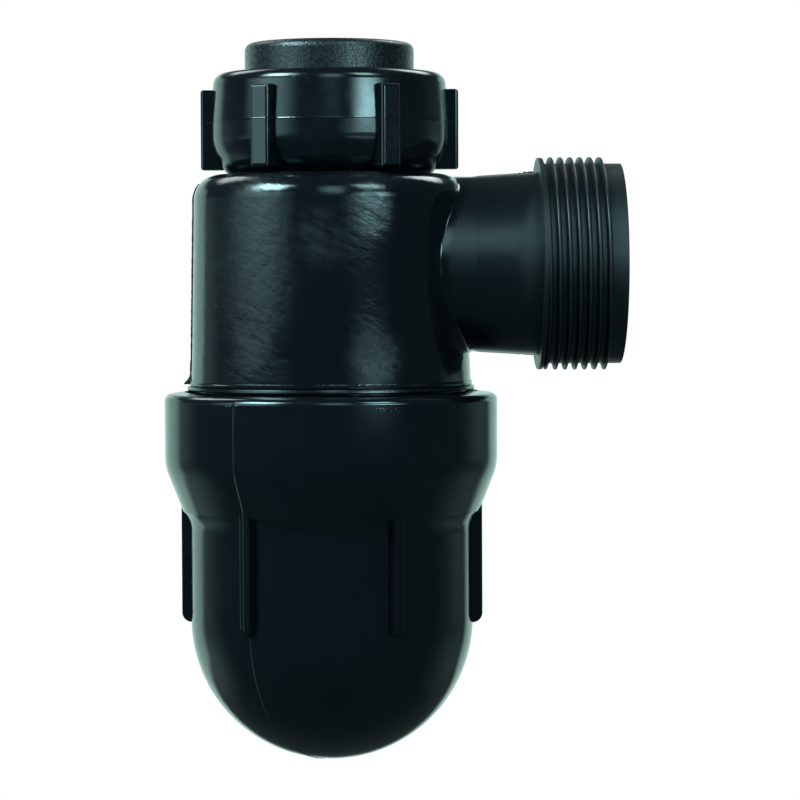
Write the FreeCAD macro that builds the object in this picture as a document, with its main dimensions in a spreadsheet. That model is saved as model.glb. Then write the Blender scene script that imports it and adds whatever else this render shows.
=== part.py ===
import FreeCAD, Part
import os

import Sketcher

# A bottle trap for a laboratory sink, moulded in black plastic.
# The origin is the centre of the inlet tube's open end. +Z is up and +X runs along the outlet.
# Depths are measured down from the inlet tube's end, reaches along X from the trap's own axis.

doc = FreeCAD.newDocument("laboratory_sink_trap")

# Driving dimensions, in millimetres and degrees

SIZES = (
    ("tube_od", 43.0, "inlet tube, outside diameter"),
    ("tube_wall", 3.0, "inlet tube, wall"),
    ("tube_lip_round", 2.0, "inlet tube, rounded outer edge of the open end"),
    ("tube_stand", 7.6, "inlet tube, end above the top of the nut"),
    ("flange_thick", 2.5, "inlet tube, flange that the nut pulls on"),
    ("seal_land", 0.5, "inlet tube, step that centres the inlet seal"),
    ("water_seal", 75.0, "depth of the inlet tube's lower end under the outlet's invert"),
    ("inlet_seal_thick", 2.5, "rubber ring on the flange"),
    ("thread_depth", 1.5, "coupling thread, crest to root"),
    ("thread_pitch", 2.5, "coupling thread, pitch"),
    ("thread_crest", 0.5, "coupling thread, width of the crest"),
    ("thread_foot", 1.9, "coupling thread, width at the root"),
    ("thread_clear", 0.3, "coupling thread, radial clearance"),
    ("thread_slack", 0.2, "coupling thread, extra width of the groove in the nut"),
    ("nut_height", 25.5, "nut, height"),
    ("nut_top_wall", 3.6, "nut, wall around the thread at the top"),
    ("nut_draft", 0.8, "nut, growth from the top down to the parting line"),
    ("nut_parting", 12.6, "nut, parting line under the top"),
    ("nut_top_round", 3.0, "nut, rounded top edge"),
    ("nut_foot_wall", 3.1, "nut, wall around the tube at the foot"),
    ("nut_foot_height", 9.3, "nut, height of the rounded foot"),
    ("nut_lip", 5.0, "nut, thickness of the inward lip"),
    ("nut_play", 1.3, "nut, radial play around the inlet tube"),
    ("nut_rest", 0.2, "nut, gap over the body's shoulder at rest"),
    ("nut_lift", 3.0, "nut, travel up to the tube's flange"),
    ("nut_rib_stand", 2.55, "nut, height of a grip rib over the wall"),
    ("nut_rib_width", 5.2, "nut, width of a grip rib"),
    ("nut_rib_drop", 4.2, "nut, top of the ribs under the top of the nut"),
    ("nut_rib_foot", 1.0, "nut, foot of the ribs above the foot of the nut"),
    ("nut_rib_round", 0.8, "nut, rounded edges of the ribs"),
    ("nut_rib_count", 6, "nut, number of grip ribs"),
    ("nut_rib_turn", -2.8, "nut, angle of the first rib from the outlet"),
    ("ring_thick", 2.0, "thrust ring, thickness"),
    ("ring_play", 0.4, "thrust ring, radial play inside and outside"),
    ("body_top_od", 69.2, "body, diameter under the shoulder"),
    ("body_draft", 0.8, "body, growth of the radius down to the flare"),
    ("body_wall", 2.6, "body, wall"),
    ("shoulder_round", 6.4, "body, rounded shoulder"),
    ("flare_gap", 0.95, "body, flare under the outlet branch"),
    ("flare_height", 6.3, "body, flared stretch above the bead"),
    ("bead_stand", 0.7, "body, height of the bead over the wall"),
    ("bead_height", 1.4, "body, height of the bead"),
    ("sleeve_wall", 2.4, "body, wall of the sleeve that holds the inlet tube"),
    ("sleeve_depth", 12.4, "body, depth of that sleeve under the shoulder"),
    ("tube_fit", 0.1, "body, radial gap between sleeve and inlet tube"),
    ("skirt_step", 0.2, "body, step from the wall in to the skirt"),
    ("skirt_wall", 2.4, "body, wall of the skirt"),
    ("skirt_length", 19.0, "body, skirt under the bead"),
    ("outlet_cover", 0.55, "outlet, top of the branch under the body's shoulder"),
    ("outlet_reach", 73.9, "outlet, end from the trap's axis"),
    ("outlet_bore", 37.0, "outlet, bore"),
    ("branch_wall", 3.8, "outlet, wall of the branch at the body"),
    ("branch_flare", 1.0, "outlet, growth of the branch out to the thread"),
    ("outlet_fillet", 0.7, "outlet, fillet between branch and body"),
    ("socket_gap", 0.25, "outlet, radial gap around the next tube"),
    ("nose_wall", 3.75, "outlet, wall of the nose around the socket"),
    ("socket_floor", 3.0, "outlet, floor of the socket in front of the thread's back"),
    ("socket_chamfer", 1.5, "outlet, seat for the next seal"),
    ("nose_length", 3.1, "outlet, plain nose in front of the thread"),
    ("thread_length", 18.0, "outlet, threaded length with its back collar"),
    ("thread_collar", 1.0, "outlet, collar behind the thread"),
    ("bowl_seal_thick", 2.5, "rubber ring under the skirt"),
    ("bowl_seal_play", 0.3, "rubber ring, radial play in the bowl"),
    ("bowl_thread_depth", 1.9, "bowl thread, crest to root"),
    ("bowl_thread_pitch", 3.6, "bowl thread, pitch"),
    ("bowl_thread_crest", 0.8, "bowl thread, width of a crest"),
    ("bowl_thread_foot", 2.0, "bowl thread, width at the root"),
    ("bowl_thread_turns", 2.5, "bowl thread, turns inside the bowl"),
    ("bowl_gap", 0.3, "bowl thread, radial clearance"),
    ("rim_gap", 1.3, "bowl, rim under the bead"),
    ("rim_slope", 0.7, "bowl, fall of the rim from inside to outside"),
    ("rim_round", 1.8, "bowl, rounded outer edge of the rim"),
    ("collar_wall", 5.0, "bowl, wall of the collar around the thread"),
    ("collar_height", 18.3, "bowl, straight collar under the rim"),
    ("taper_height", 11.3, "bowl, tapered stretch under the collar"),
    ("taper_top_round", 14.0, "bowl, round between collar and taper"),
    ("cove_stand", 1.9, "bowl, foot of the taper over the cup"),
    ("cove_height", 4.8, "bowl, hollow stretch between taper and cup"),
    ("cup_od", 72.0, "bowl, diameter of the cup and its domed end"),
    ("tube_sink", 3.3, "bowl, foot of the inlet tube under the centre of the dome"),
    ("bowl_wall", 3.25, "bowl, wall"),
    ("bowl_rib_stand", 0.6, "bowl, height of a grip rib over the foot of the taper"),
    ("bowl_rib_width", 2.8, "bowl, width of a grip rib"),
    ("bowl_rib_overrun", 1.2, "bowl, foot of the ribs under the centre of the dome"),
    ("bowl_rib_round", 0.45, "bowl, rounded edges of the ribs"),
    ("bowl_rib_count", 6, "bowl, number of grip ribs"),
    ("bowl_rib_turn", -4.8, "bowl, angle of the first rib from the outlet"),
)

sheet = doc.addObject("Spreadsheet::Sheet", "Dims")
for row, (alias, size, meaning) in enumerate(SIZES, start=1):
    sheet.set(f"A{row}", meaning)
    sheet.set(f"B{row}", str(size))
    sheet.setAlias(f"B{row}", alias)
doc.recompute()


def dim(alias):
    """The formula for one size of the sheet."""
    return f"Dims.{alias}"


def radius(alias):
    """The formula for half of a diameter in the sheet."""
    return f"(Dims.{alias} / 2)"


def value(formula):
    """What a formula gives with the sheet's present sizes."""
    return float(sheet.evalExpression(formula))


# Radii, as formulas of the sheet

TUBE_R = radius("tube_od")
TUBE_BORE_R = f"({TUBE_R} - {dim('tube_wall')})"
SEAL_LAND_R = f"({TUBE_R} + {dim('seal_land')})"
SOCKET_R = f"({TUBE_R} + {dim('socket_gap')})"
THREAD_ROOT_R = f"({SOCKET_R} + {dim('nose_wall')})"
THREAD_R = f"({THREAD_ROOT_R} + {dim('thread_depth')})"
NUT_BORE_R = f"({THREAD_ROOT_R} + {dim('thread_clear')})"
NUT_HOLE_R = f"({TUBE_R} + {dim('nut_play')})"
NUT_TOP_R = f"({NUT_BORE_R} + {dim('nut_top_wall')})"
NUT_R = f"({NUT_TOP_R} + {dim('nut_draft')})"
NUT_FOOT_R = f"({NUT_HOLE_R} + {dim('nut_foot_wall')})"
NUT_RIB_R = f"({NUT_R} + {dim('nut_rib_stand')})"
FLANGE_R = f"({NUT_BORE_R} - {dim('ring_play')})"
RING_HOLE_R = f"({TUBE_R} + {dim('ring_play')})"
SLEEVE_BORE_R = f"({TUBE_R} + {dim('tube_fit')})"
SLEEVE_R = f"({SLEEVE_BORE_R} + {dim('sleeve_wall')})"
BODY_TOP_R = radius("body_top_od")
BODY_INNER_R = f"({BODY_TOP_R} - {dim('body_wall')})"
BODY_BASE_R = f"({BODY_TOP_R} + {dim('body_draft')})"
BEAD_R = f"({BODY_BASE_R} + {dim('bead_stand')})"
SKIRT_R = f"({BODY_BASE_R} - {dim('skirt_step')})"
SKIRT_INNER_R = f"({SKIRT_R} - {dim('skirt_wall')})"
OUTLET_BORE_R = radius("outlet_bore")
BRANCH_R = f"({OUTLET_BORE_R} + {dim('branch_wall')})"
BRANCH_END_R = f"({BRANCH_R} + {dim('branch_flare')})"
BOWL_BORE_R = f"({SKIRT_R} + {dim('bowl_thread_depth')} + {dim('bowl_gap')})"
BOWL_SEAL_R = f"({BOWL_BORE_R} - {dim('bowl_seal_play')})"
COLLAR_R = f"({BOWL_BORE_R} + {dim('collar_wall')})"
CUP_R = radius("cup_od")
CUP_INNER_R = f"({CUP_R} - {dim('bowl_wall')})"
TAPER_FOOT_R = f"({CUP_R} + {dim('cove_stand')})"
BOWL_RIB_R = f"({TAPER_FOOT_R} + {dim('bowl_rib_stand')})"
LEDGE_R = f"({SKIRT_INNER_R} + {dim('bowl_seal_play')})"
SKIRT_CREST_R = f"({SKIRT_R} + {dim('bowl_thread_depth')})"
BOWL_CREST_R = f"({SKIRT_R} + {dim('bowl_gap')})"
NUT_GROOVE_R = f"({THREAD_R} + {dim('thread_clear')})"

# Depths under the inlet tube's end, as formulas of the sheet

NUT_TOP = dim("tube_stand")
NUT_FOOT = f"({NUT_TOP} + {dim('nut_height')})"
SHOULDER = f"({NUT_FOOT} + {dim('nut_rest')})"
NUT_SEAT = f"({NUT_FOOT} - {dim('nut_lip')})"
RING_TOP = f"({NUT_SEAT} - {dim('ring_thick')})"
FLANGE_FOOT = f"({RING_TOP} - {dim('nut_lift')})"
FLANGE_TOP = f"({FLANGE_FOOT} - {dim('flange_thick')})"
INLET_SEAL_TOP = f"({FLANGE_TOP} - {dim('inlet_seal_thick')})"
CEILING = f"({SHOULDER} + {dim('body_wall')})"
SLEEVE_FOOT = f"({CEILING} + {dim('sleeve_depth')})"
OUTLET_AXIS = f"({SHOULDER} + {dim('outlet_cover')} + {BRANCH_R})"
TUBE_FOOT = f"({OUTLET_AXIS} + {OUTLET_BORE_R} + {dim('water_seal')})"
FLARE_TOP = f"({OUTLET_AXIS} + {BRANCH_R} + {dim('flare_gap')})"
BEAD_TOP = f"({FLARE_TOP} + {dim('flare_height')})"
BEAD_FOOT = f"({BEAD_TOP} + {dim('bead_height')})"
SKIRT_FOOT = f"({BEAD_FOOT} + {dim('skirt_length')})"
LEDGE = f"({SKIRT_FOOT} + {dim('bowl_seal_thick')})"
RIM_TOP = f"({BEAD_FOOT} + {dim('rim_gap')})"
RIM_EDGE = f"({RIM_TOP} + {dim('rim_slope')})"
COLLAR_FOOT = f"({RIM_EDGE} + {dim('collar_height')})"
TAPER_FOOT = f"({COLLAR_FOOT} + {dim('taper_height')})"
COVE_FOOT = f"({TAPER_FOOT} + {dim('cove_height')})"
DOME_CENTRE = f"({TUBE_FOOT} - {dim('tube_sink')})"
SKIRT_THREAD_FOOT = f"({SKIRT_FOOT} - {dim('bowl_thread_foot')})"
SKIRT_THREAD_TOP = f"({BEAD_FOOT} + {dim('bowl_thread_foot')} / 2)"
BOWL_THREAD_FOOT = f"({SKIRT_THREAD_FOOT} - {dim('bowl_thread_pitch')} / 2)"

# Reaches along the outlet

NOSE_BACK = f"({dim('outlet_reach')} - {dim('nose_length')})"
THREAD_BACK = f"({NOSE_BACK} - {dim('thread_length')})"
SOCKET_BACK = f"({THREAD_BACK} + {dim('socket_floor')})"
BRANCH_START = f"({BODY_INNER_R} / 2)"
BORE_START = f"({SLEEVE_R} + {dim('tube_fit')})"

UPRIGHT = "0 deg"  # the lean of a straight wall
JOIN = "0.5"  # how far an added ridge or rib reaches into the wall that carries it
LOOK = 1e-4  # how near an edge must be to the place it is looked for


def origin_plane(body, role):
    """One of a body's own origin planes or axes."""
    return next(part for part in body.Origin.OriginFeatures if part.Role == role)


def new_body(label):
    body = doc.addObject("PartDesign::Body", label)
    body.Label = label
    return body


def upright_sketch(body, name, drop=None, turn=None):
    """A sketch on the body's XZ plane, lowered to a depth or turned about the trap's axis if asked."""
    sketch = body.newObject("Sketcher::SketchObject", name)
    sketch.AttachmentSupport = (origin_plane(body, "XZ_Plane"), [""])
    sketch.MapMode = "FlatFace"
    if drop:
        sketch.setExpression("AttachmentOffset.Base.y", f"-{drop}")
    if turn:
        angle = value(turn)
        upright = FreeCAD.Rotation(FreeCAD.Vector(0, 1, 0), angle)
        sketch.AttachmentOffset = FreeCAD.Placement(FreeCAD.Vector(), upright)
        sketch.setExpression("AttachmentOffset.Rotation.Angle", turn)
    return sketch


def arc_between(start, end, size, side):
    """An arc of a given radius from one corner to the next, bulging to the right or left of that line."""
    span = end - start
    rise = max(size**2 - (span.Length / 2) ** 2, 0.0) ** 0.5
    outward = FreeCAD.Vector(span.y, -span.x, 0).normalize()
    if side == "left":
        outward = -outward
    crown = (start + end) / 2 + outward * (size - rise)
    return Part.Arc(start, crown, end)


def outline(sketch, corners):
    """A closed outline. A corner is (across, up), with (radius, side) too where an arc leaves it."""
    points = [FreeCAD.Vector(value(corner[0]), value(corner[1]), 0) for corner in corners]
    for number, corner in enumerate(corners):
        start = points[number]
        end = points[(number + 1) % len(points)]
        if len(corner) > 2:
            sketch.addGeometry(arc_between(start, end, value(corner[2]), corner[3]))
        else:
            sketch.addGeometry(Part.LineSegment(start, end))
    ends = [edge_ends(sketch, number, points[number]) for number in range(len(corners))]
    for number in range(len(corners)):
        following = (number + 1) % len(corners)
        sketch.addConstraint(
            Sketcher.Constraint("Coincident", number, ends[number][1], following, ends[following][0])
        )
    for number, corner in enumerate(corners):
        bind_corner(sketch, number, ends[number][0], corner)
    return sketch


def edge_ends(sketch, edge, start):
    """Which end of an edge is its start: an arc always runs anticlockwise."""
    if (sketch.getPoint(edge, 1) - start).Length < LOOK:
        return 1, 2
    return 2, 1


def bind_corner(sketch, edge, end, corner):
    """Bind one corner of an outline, and the arc that leaves it, to their formulas."""
    for kind, axis, formula in (("DistanceX", -2, corner[0]), ("DistanceY", -1, corner[1])):
        if formula == "0":
            sketch.addConstraint(Sketcher.Constraint("PointOnObject", edge, end, axis))
            continue
        index = sketch.addConstraint(Sketcher.Constraint(kind, -1, 1, edge, end, value(formula)))
        sketch.setExpression(f"Constraints[{index}]", formula)
    if len(corner) > 2:
        index = sketch.addConstraint(Sketcher.Constraint("Radius", edge, value(corner[2])))
        sketch.setExpression(f"Constraints[{index}]", corner[2])


def turned(body, name, corners, kind="PartDesign::Revolution", drop=None):
    """A solid of revolution, or a groove, about the trap's axis or about an axis along the outlet."""
    sketch = outline(upright_sketch(body, f"{name}_section", drop), corners)
    feature = body.newObject(kind, name)
    feature.Profile = sketch
    feature.ReferenceAxis = (sketch, ["H_Axis" if drop else "V_Axis"])
    feature.Angle = 360
    doc.recompute()
    return feature


def down(depth):
    """The height of a depth."""
    return f"-{depth}" if depth != "0" else "0"


def section(*corners):
    """Corners given as (radius, depth), with an arc or without, as an upright outline."""
    return [(corner[0], down(corner[1])) + tuple(corner[2:]) for corner in corners]


def round_off(across, depth, lean_under, lean_over, size):
    """The two ends of an arc that rounds an outer corner between walls that lean out by two angles."""
    reach = f"({size} * tan(({lean_under} - {lean_over}) / 2))"
    foot = (f"({across} - {reach} * sin({lean_under}))", f"({depth} + {reach} * cos({lean_under}))")
    top = (f"({across} + {reach} * sin({lean_over}))", f"({depth} - {reach} * cos({lean_over}))")
    return (*foot, size, "right"), top


def hoop_edges(feature, across, depth):
    """The names of the circular edges about the trap's axis at one radius and depth."""
    names = []
    for number, edge in enumerate(feature.Shape.Edges, start=1):
        if edge.Degenerated or not isinstance(edge.Curve, Part.Circle):
            continue
        centre = edge.Curve.Center
        on_axis = abs(centre.x) + abs(centre.y) < LOOK
        if on_axis and abs(edge.Curve.Radius - value(across)) < LOOK and abs(centre.z + value(depth)) < LOOK:
            names.append(f"Edge{number}")
    return names


def rounded(body, name, base, edges, size):
    """A fillet on the named edges of the last feature."""
    fillet = body.newObject("PartDesign::Fillet", name)
    fillet.Base = (base, edges)
    fillet.setExpression("Radius", size)
    doc.recompute()
    return fillet


def grip_ribs(body, name, corners, width, count, turn):
    """One upright rib, padded to both sides of its plane and repeated about the trap's axis."""
    sketch = outline(upright_sketch(body, f"{name}_section", turn=turn), corners)
    rib = body.newObject("PartDesign::Pad", f"{name}_rib")
    rib.Profile = sketch
    rib.Midplane = True
    rib.setExpression("Length", width)
    pattern = body.newObject("PartDesign::PolarPattern", name)
    pattern.Originals = [rib]
    pattern.Axis = (origin_plane(body, "Z_Axis"), [""])
    pattern.Angle = 360
    pattern.setExpression("Occurrences", count)
    body.Tip = pattern
    doc.recompute()
    return pattern


def thread(body, name, ridge, middle, run, drop=None, cut=False):
    """A right-hand thread: a tapered ridge or groove that climbs along the trap's axis or the outlet's.

    ridge is (radius at the foot, radius at the crest, width at the foot, width at the crest, pitch).
    """
    foot_r, crest_r, foot, crest, pitch = ridge
    corners = [
        (foot_r, f"({middle} - {foot} / 2)"),
        (crest_r, f"({middle} - {crest} / 2)"),
        (crest_r, f"({middle} + {crest} / 2)"),
        (foot_r, f"({middle} + {foot} / 2)"),
    ]
    if drop:
        corners = [(along, across) for across, along in corners]
    sketch = outline(upright_sketch(body, f"{name}_section", drop), corners)
    helix = body.newObject("PartDesign::SubtractiveHelix" if cut else "PartDesign::AdditiveHelix", name)
    helix.Profile = sketch
    helix.ReferenceAxis = (sketch, ["H_Axis" if drop else "V_Axis"])
    helix.setExpression("Pitch", pitch)
    helix.setExpression("Height", run)
    doc.recompute()
    return helix


def middle_of(edge):
    """The middle of an edge, as its distance from the trap's axis and its depth."""
    point = edge.valueAt((edge.FirstParameter + edge.LastParameter) / 2)
    return (point.x**2 + point.y**2) ** 0.5, -point.z


def is_level(edge):
    """Whether an edge runs level, as the ones across a rib do."""
    start = edge.valueAt(edge.FirstParameter)
    end = edge.valueAt(edge.LastParameter)
    return abs(start.z - end.z) < LOOK


def rib_edges(feature, reach, top, foot, level=True):
    """The names of the outer edges of a grip's ribs, past a reach and between two depths."""
    names = []
    for number, edge in enumerate(feature.Shape.Edges, start=1):
        if edge.Degenerated or (is_level(edge) and not level):
            continue
        across, depth = middle_of(edge)
        if across > value(reach) and value(top) < depth < value(foot):
            names.append(f"Edge{number}")
    return names


def branch_edges(feature):
    """The names of the edges where the outlet branch meets the body."""
    names = []
    for number, edge in enumerate(feature.Shape.Edges, start=1):
        if edge.Degenerated or isinstance(edge.Curve, (Part.Line, Part.Circle)):
            continue
        reaches = [point.x for point in edge.discretize(5)]
        if min(reaches) > 0 and max(reaches) < value(BEAD_R):
            names.append(f"Edge{number}")
    return names


def make_inlet_tube():
    """The tube that dips into the bowl. The nut pulls on its flange; its top end enters the sink's tail."""
    body = new_body("inlet_tube")
    turned_tube = turned(
        body,
        "tube",
        section(
            (TUBE_BORE_R, "0"),
            (TUBE_R, "0"),
            (TUBE_R, INLET_SEAL_TOP),
            (SEAL_LAND_R, INLET_SEAL_TOP),
            (SEAL_LAND_R, FLANGE_TOP),
            (FLANGE_R, FLANGE_TOP),
            (FLANGE_R, FLANGE_FOOT),
            (TUBE_R, FLANGE_FOOT),
            (TUBE_R, TUBE_FOOT),
            (TUBE_BORE_R, TUBE_FOOT),
        ),
    )
    rounded(body, "open_end", turned_tube, hoop_edges(turned_tube, TUBE_R, "0"), dim("tube_lip_round"))
    return body


def make_inlet_seal():
    """The rubber ring that the sink's tail is pulled down on."""
    body = new_body("inlet_seal")
    turned(
        body,
        "ring",
        section(
            (SEAL_LAND_R, INLET_SEAL_TOP),
            (FLANGE_R, INLET_SEAL_TOP),
            (FLANGE_R, FLANGE_TOP),
            (SEAL_LAND_R, FLANGE_TOP),
        ),
    )
    return body


def make_thrust_ring():
    """The plain ring on the nut's lip, which rises with the nut to the tube's flange."""
    body = new_body("thrust_ring")
    turned(
        body,
        "ring",
        section((RING_HOLE_R, RING_TOP), (FLANGE_R, RING_TOP), (FLANGE_R, NUT_SEAT), (RING_HOLE_R, NUT_SEAT)),
    )
    return body


def make_inlet_nut():
    """The coupling nut, open at the top and held on the tube by its inward lip."""
    body = new_body("inlet_nut")
    parting = f"({NUT_TOP} + {dim('nut_parting')})"
    foot_rise = dim("nut_foot_height")
    foot_step = f"({NUT_R} - {NUT_FOOT_R})"
    foot_round = f"(({foot_step} ^ 2 + {foot_rise} ^ 2) / (2 * {foot_step}))"
    shell = turned(
        body,
        "shell",
        section(
            (NUT_HOLE_R, NUT_FOOT),
            (NUT_FOOT_R, NUT_FOOT, foot_round, "right"),
            (NUT_R, f"({NUT_FOOT} - {foot_rise})"),
            (NUT_R, parting),
            (NUT_TOP_R, NUT_TOP),
            (NUT_BORE_R, NUT_TOP),
            (NUT_BORE_R, NUT_SEAT),
            (NUT_HOLE_R, NUT_SEAT),
        ),
    )
    rounded(body, "top_edge", shell, hoop_edges(shell, NUT_TOP_R, NUT_TOP), dim("nut_top_round"))
    inside = f"({NUT_BORE_R} + {JOIN})"
    rib_top = f"({NUT_TOP} + {dim('nut_rib_drop')})"
    rib_foot = f"({NUT_FOOT} - {dim('nut_rib_foot')})"
    ribs = grip_ribs(
        body,
        "grip",
        section(
            (inside, rib_foot),
            (NUT_RIB_R, rib_foot),
            (NUT_RIB_R, rib_top),
            (inside, rib_top),
        ),
        dim("nut_rib_width"),
        dim("nut_rib_count"),
        dim("nut_rib_turn"),
    )
    edges = rib_edges(ribs, f"({NUT_RIB_R} - {LOOK})", NUT_TOP, NUT_FOOT)
    rounded(body, "grip_edges", ribs, edges, dim("nut_rib_round"))
    groove_foot = f"({INLET_SEAL_TOP} - {dim('thread_foot')})"
    thread(
        body,
        "nut_thread",
        (
            f"({NUT_BORE_R} - {JOIN})",
            NUT_GROOVE_R,
            f"({dim('thread_foot')} + {dim('thread_slack')})",
            f"({dim('thread_crest')} + {dim('thread_slack')})",
            dim("thread_pitch"),
        ),
        down(groove_foot),
        f"{groove_foot} - {NUT_TOP} + {dim('thread_foot')}",
        cut=True,
    )
    return body


def make_trap_body():
    """The body: rounded shoulder, drafted wall, threaded outlet branch and a skirt that enters the bowl."""
    body = new_body("trap_body")
    barrel = turned(
        body,
        "barrel",
        section(
            ("0", SHOULDER),
            (BODY_TOP_R, SHOULDER),
            (BODY_BASE_R, FLARE_TOP),
            (f"({BODY_BASE_R} + {dim('bead_stand')} * 2 / 5)", BEAD_TOP),
            (BEAD_R, f"({BEAD_TOP} + {dim('bead_height')} / 3)"),
            (BEAD_R, f"({BEAD_TOP} + {dim('bead_height')} * 2 / 3)"),
            (SKIRT_R, BEAD_FOOT),
            (SKIRT_R, SKIRT_FOOT),
            ("0", SKIRT_FOOT),
        ),
    )
    rounded(body, "shoulder", barrel, hoop_edges(barrel, BODY_TOP_R, SHOULDER), dim("shoulder_round"))
    collar_front = f"({THREAD_BACK} + {dim('thread_collar')})"
    branch = turned(
        body,
        "branch",
        [
            (BRANCH_START, "0"),
            (BRANCH_START, BRANCH_R),
            (BEAD_R, BRANCH_R),
            (THREAD_BACK, BRANCH_END_R),
            (THREAD_BACK, THREAD_R),
            (collar_front, THREAD_R),
            (f"({collar_front} + {dim('thread_depth')} / 2)", THREAD_ROOT_R),
            (dim("outlet_reach"), THREAD_ROOT_R),
            (dim("outlet_reach"), "0"),
        ],
        drop=OUTLET_AXIS,
    )
    rounded(body, "branch_fillet", branch, branch_edges(branch), dim("outlet_fillet"))
    start = f"({collar_front} - {dim('thread_crest')} / 2)"
    thread(
        body,
        "outlet_thread",
        (
            f"({THREAD_ROOT_R} - {JOIN})",
            THREAD_R,
            dim("thread_foot"),
            dim("thread_crest"),
            dim("thread_pitch"),
        ),
        start,
        f"{NOSE_BACK} - {start} - {dim('thread_foot')} / 2",
        drop=OUTLET_AXIS,
    )
    thread(
        body,
        "skirt_thread",
        (
            f"({SKIRT_R} - {JOIN})",
            SKIRT_CREST_R,
            dim("bowl_thread_foot"),
            dim("bowl_thread_crest"),
            dim("bowl_thread_pitch"),
        ),
        down(SKIRT_THREAD_FOOT),
        f"{SKIRT_THREAD_FOOT} - {SKIRT_THREAD_TOP}",
    )
    turned(
        body,
        "waterway",
        section(
            ("0", SHOULDER),
            (SLEEVE_BORE_R, SHOULDER),
            (SLEEVE_BORE_R, SLEEVE_FOOT),
            (SLEEVE_R, SLEEVE_FOOT),
            (SLEEVE_R, CEILING),
            (BODY_INNER_R, CEILING),
            (SKIRT_INNER_R, SKIRT_FOOT),
            ("0", SKIRT_FOOT),
        ),
        "PartDesign::Groove",
    )
    turned(
        body,
        "outlet_bore",
        [
            (BORE_START, "0"),
            (BORE_START, OUTLET_BORE_R),
            (SOCKET_BACK, OUTLET_BORE_R),
            (SOCKET_BACK, SOCKET_R),
            (f"({dim('outlet_reach')} - {dim('socket_chamfer')})", SOCKET_R),
            (dim("outlet_reach"), f"({SOCKET_R} + {dim('socket_chamfer')})"),
            (dim("outlet_reach"), "0"),
        ],
        "PartDesign::Groove",
        drop=OUTLET_AXIS,
    )
    return body


def make_bowl_seal():
    """The rubber ring that the skirt presses on the bowl's ledge."""
    body = new_body("bowl_seal")
    turned(
        body,
        "ring",
        section((LEDGE_R, SKIRT_FOOT), (BOWL_SEAL_R, SKIRT_FOOT), (BOWL_SEAL_R, LEDGE), (LEDGE_R, LEDGE)),
    )
    return body


def make_bowl():
    """The bowl that screws on to the skirt: collar, taper, hollow cove, ribbed cup and domed end."""
    body = new_body("bowl")
    cove_stand = dim("cove_stand")
    cove_round = f"(({cove_stand} ^ 2 + {dim('cove_height')} ^ 2) / (2 * {cove_stand}))"
    taper_lean = f"atan(({COLLAR_R} - {TAPER_FOOT_R}) / {dim('taper_height')})"
    rim_lean = f"(atan({dim('rim_slope')} / ({COLLAR_R} - {BOWL_BORE_R})) - 90 deg)"
    turned(
        body,
        "shell",
        section(
            (BOWL_BORE_R, RIM_TOP),
            (BOWL_BORE_R, LEDGE),
            (LEDGE_R, LEDGE),
            (CUP_INNER_R, COVE_FOOT),
            (CUP_INNER_R, DOME_CENTRE, CUP_INNER_R, "left"),
            ("0", f"({DOME_CENTRE} + {CUP_INNER_R})"),
            ("0", f"({DOME_CENTRE} + {CUP_R})", CUP_R, "right"),
            (CUP_R, DOME_CENTRE),
            (CUP_R, COVE_FOOT, cove_round, "left"),
            (TAPER_FOOT_R, TAPER_FOOT),
            *round_off(COLLAR_R, COLLAR_FOOT, taper_lean, UPRIGHT, dim("taper_top_round")),
            *round_off(COLLAR_R, RIM_EDGE, UPRIGHT, rim_lean, dim("rim_round")),
        ),
    )
    inside = f"({CUP_R} - {JOIN})"
    rib_foot = f"({DOME_CENTRE} + {dim('bowl_rib_overrun')})"
    rib_top = f"({TAPER_FOOT} - {dim('taper_height')} / 2)"
    end_round = f"({BOWL_RIB_R} - {CUP_R})"
    ribs = grip_ribs(
        body,
        "grip",
        section(
            (inside, rib_foot),
            (CUP_R, rib_foot, end_round, "right"),
            (BOWL_RIB_R, f"({rib_foot} - {end_round})"),
            (BOWL_RIB_R, rib_top),
            (inside, rib_top),
        ),
        dim("bowl_rib_width"),
        dim("bowl_rib_count"),
        dim("bowl_rib_turn"),
    )
    edges = rib_edges(ribs, f"({CUP_R} + {end_round} / 4)", COVE_FOOT, rib_foot, level=False)
    rounded(body, "grip_edges", ribs, edges, dim("bowl_rib_round"))
    thread(
        body,
        "bowl_thread",
        (
            f"({BOWL_BORE_R} + {JOIN})",
            BOWL_CREST_R,
            dim("bowl_thread_foot"),
            dim("bowl_thread_crest"),
            dim("bowl_thread_pitch"),
        ),
        down(BOWL_THREAD_FOOT),
        f"{dim('bowl_thread_turns')} * {dim('bowl_thread_pitch')}",
    )
    return body


def check_and_export(bodies):
    """Stop if anything failed to build, then write one file for each piece."""
    failed = [item.Label for item in doc.Objects if {"Invalid", "Error"} & set(item.State)]
    if failed:
        raise RuntimeError(f"failed to build: {failed}")
    for body in bodies:
        if body.Shape.isNull() or not body.Shape.isValid() or len(body.Shape.Solids) != 1:
            raise RuntimeError(f"{body.Label} is not one valid solid")
    os.makedirs("parts", exist_ok=True)
    for body in bodies:
        body.Shape.exportStep(f"parts/{body.Label}.step")
        print(f"{body.Label}: {body.Shape.Volume / 1000:.2f} cm3, {len(body.Shape.Faces)} faces")


def main():
    bodies = [
        make_inlet_tube(),
        make_inlet_seal(),
        make_thrust_ring(),
        make_inlet_nut(),
        make_trap_body(),
        make_bowl_seal(),
        make_bowl(),
    ]
    doc.recompute()
    check_and_export(bodies)


main()
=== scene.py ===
# %% [markdown]
# # A laboratory sink trap in black plastic
# The trap arrives as finished solids: an inlet tube, a loose coupling nut, a body with a threaded outlet and a
# bowl that screws off. The solids carry the true shape, so this lesson adds what a mould and years of use add:
# seams, flash, rounded thread crests, gouges, grain, scuffs and dust. Everything is in metres, in the frame of the
# solids. Their box is kept before anything is added, and the floor is set below it.

import math
import random

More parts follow.
